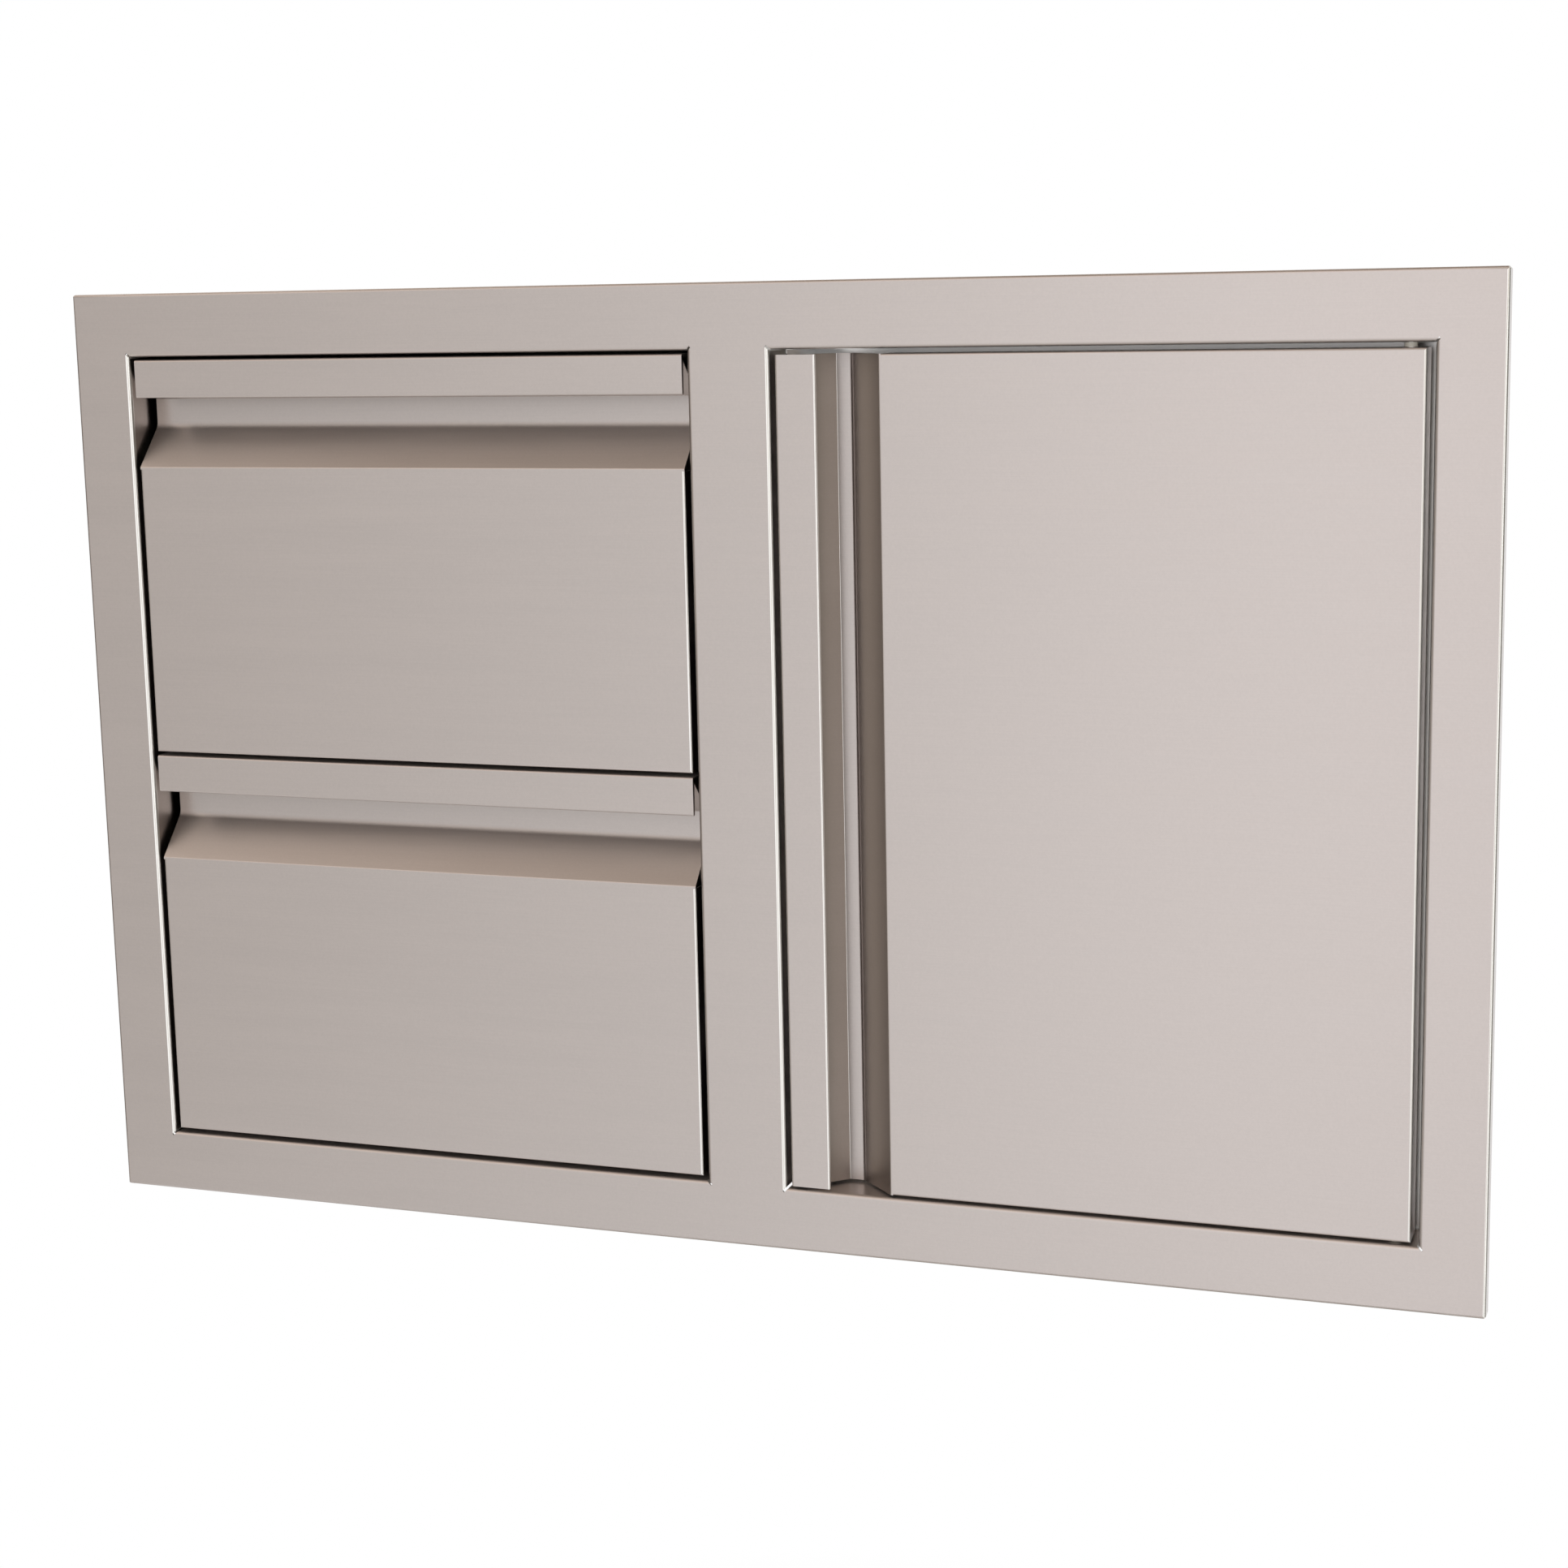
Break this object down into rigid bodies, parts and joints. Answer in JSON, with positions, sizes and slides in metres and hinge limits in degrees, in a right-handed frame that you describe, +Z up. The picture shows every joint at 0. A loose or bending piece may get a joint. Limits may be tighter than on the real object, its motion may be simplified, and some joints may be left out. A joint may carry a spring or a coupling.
{
  "type": "built-in door and drawer cabinet",
  "caption": "Built-in stainless steel storage front: stacked full-extension drawers beside a hinged door, with folded finger pulls in one flush face frame.",
  "frame": {"origin": "middle of the face frame's width and height, in the plane of the wall that the frame's rim rests on", "axes": "+X to the right seen from the front, +Y into the wall, +Z up"},
  "size_m": [0.8446, 0.5302, 0.5588],
  "materials": {
    "brushed_front": "fine brushed grain along the width",
    "satin_inner": "plain satin mill finish",
    "zinc_steel": "bright zinc plating",
    "pin_steel": "ground steel",
    "nylon": "natural nylon",
    "black_plastic": "matt black moulding",
    "rubber": "soft black rubber"
  },
  "bodies": {
    "cabinet": {"face_frame": "brushed_front", "housing_left_side": "satin_inner", "housing_right_side": "satin_inner", "housing_top": "satin_inner", "housing_bottom": "satin_inner", "housing_back": "satin_inner", "upper_left_slide_outer": "zinc_steel", "upper_right_slide_outer": "zinc_steel", "lower_left_slide_outer": "zinc_steel", "lower_right_slide_outer": "zinc_steel", "upper_pivot_plate": "zinc_steel", "lower_pivot_plate": "zinc_steel", "upper_pivot_pin": "pin_steel", "lower_pivot_pin": "pin_steel", "upper_pivot_washer": "nylon", "lower_pivot_washer": "nylon", "upper_magnet_catch": "black_plastic", "lower_magnet_catch": "black_plastic", "upper_door_bumper": "rubber", "lower_door_bumper": "rubber"},
    "upper_drawer": {"upper_drawer_front": "brushed_front", "upper_drawer_front_liner": "satin_inner", "upper_drawer_tray": "satin_inner", "upper_drawer_back": "satin_inner", "upper_left_slide_inner": "zinc_steel", "upper_right_slide_inner": "zinc_steel"},
    "lower_drawer": {"lower_drawer_front": "brushed_front", "lower_drawer_front_liner": "satin_inner", "lower_drawer_tray": "satin_inner", "lower_drawer_back": "satin_inner", "lower_left_slide_inner": "zinc_steel", "lower_right_slide_inner": "zinc_steel"},
    "upper_slide_middles": {"upper_left_slide_middle": "zinc_steel", "upper_right_slide_middle": "zinc_steel"},
    "lower_slide_middles": {"lower_left_slide_middle": "zinc_steel", "lower_right_slide_middle": "zinc_steel"},
    "door": {"door_skin": "brushed_front", "door_skin_liner": "satin_inner", "upper_pivot_block": "zinc_steel", "lower_pivot_block": "zinc_steel", "upper_pivot_bushing": "nylon", "lower_pivot_bushing": "nylon", "upper_strike_plate": "zinc_steel", "lower_strike_plate": "zinc_steel"}
  },
  "joints": [
    {"name": "upper_drawer_travel", "type": "slide", "parent": "cabinet", "child": "upper_drawer", "axis": [0, -1, 0], "range_m": [0, 0.45]},
    {"name": "lower_drawer_travel", "type": "slide", "parent": "cabinet", "child": "lower_drawer", "axis": [0, -1, 0], "range_m": [0, 0.45]},
    {"name": "upper_slide_middles_travel", "type": "slide", "parent": "cabinet", "child": "upper_slide_middles", "axis": [0, -1, 0], "range_m": [0, 0.225]},
    {"name": "lower_slide_middles_travel", "type": "slide", "parent": "cabinet", "child": "lower_slide_middles", "axis": [0, -1, 0], "range_m": [0, 0.225]},
    {"name": "door_swing", "type": "hinge", "parent": "cabinet", "child": "door", "pos_m": [0.37243, -0.0015, 0], "axis": [0, 0, 1], "range_deg": [0, 110]}
  ],
  "couplings": [
    {"joint": "upper_slide_middles_travel", "follows": "upper_drawer_travel", "ratio": 0.5},
    {"joint": "lower_slide_middles_travel", "follows": "lower_drawer_travel", "ratio": 0.5}
  ]
}
